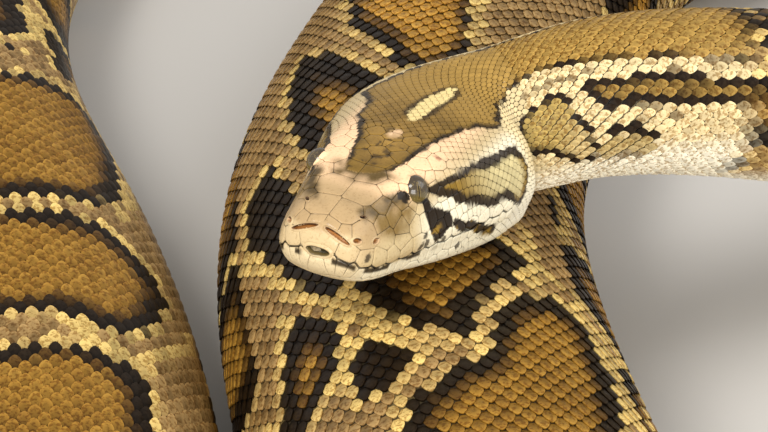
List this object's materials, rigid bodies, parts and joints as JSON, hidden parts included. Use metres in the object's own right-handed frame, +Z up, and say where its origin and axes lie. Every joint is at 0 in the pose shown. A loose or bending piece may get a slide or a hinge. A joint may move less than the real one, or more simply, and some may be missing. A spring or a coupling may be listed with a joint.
{
  "type": "burmese python",
  "caption": "Life-size still model of a Burmese python lying in flat coils, with its head resting across the thick middle of its own body",
  "frame": {"origin": "centre of the bounding box at floor level", "axes": "+Z up; the head points towards -Y and -X; the snake's coils lie along Y on the XY plane"},
  "size_m": [0.89, 1.4106, 0.2041],
  "materials": {
    "head_skin": "satin scaled skin",
    "jaw_skin": "satin scaled skin",
    "eye": "wet gloss",
    "neck_skin": "satin scaled skin",
    "trunk_skin": "satin scaled skin",
    "tail_skin": "satin scaled skin"
  },
  "bodies": {
    "root": {"head": "head_skin", "lower_jaw": "jaw_skin", "eye_left": "eye", "eye_right": "eye", "neck_1": "neck_skin", "neck_2": "neck_skin", "trunk_01": "trunk_skin", "trunk_02": "trunk_skin", "trunk_03": "trunk_skin", "trunk_04": "trunk_skin", "trunk_05": "trunk_skin", "trunk_06": "trunk_skin", "trunk_07": "trunk_skin", "trunk_08": "trunk_skin", "trunk_09": "trunk_skin", "trunk_10": "trunk_skin", "trunk_11": "trunk_skin", "trunk_12": "trunk_skin", "trunk_13": "trunk_skin", "tail_1": "tail_skin", "tail_2": "tail_skin"}
  },
  "joints": []
}
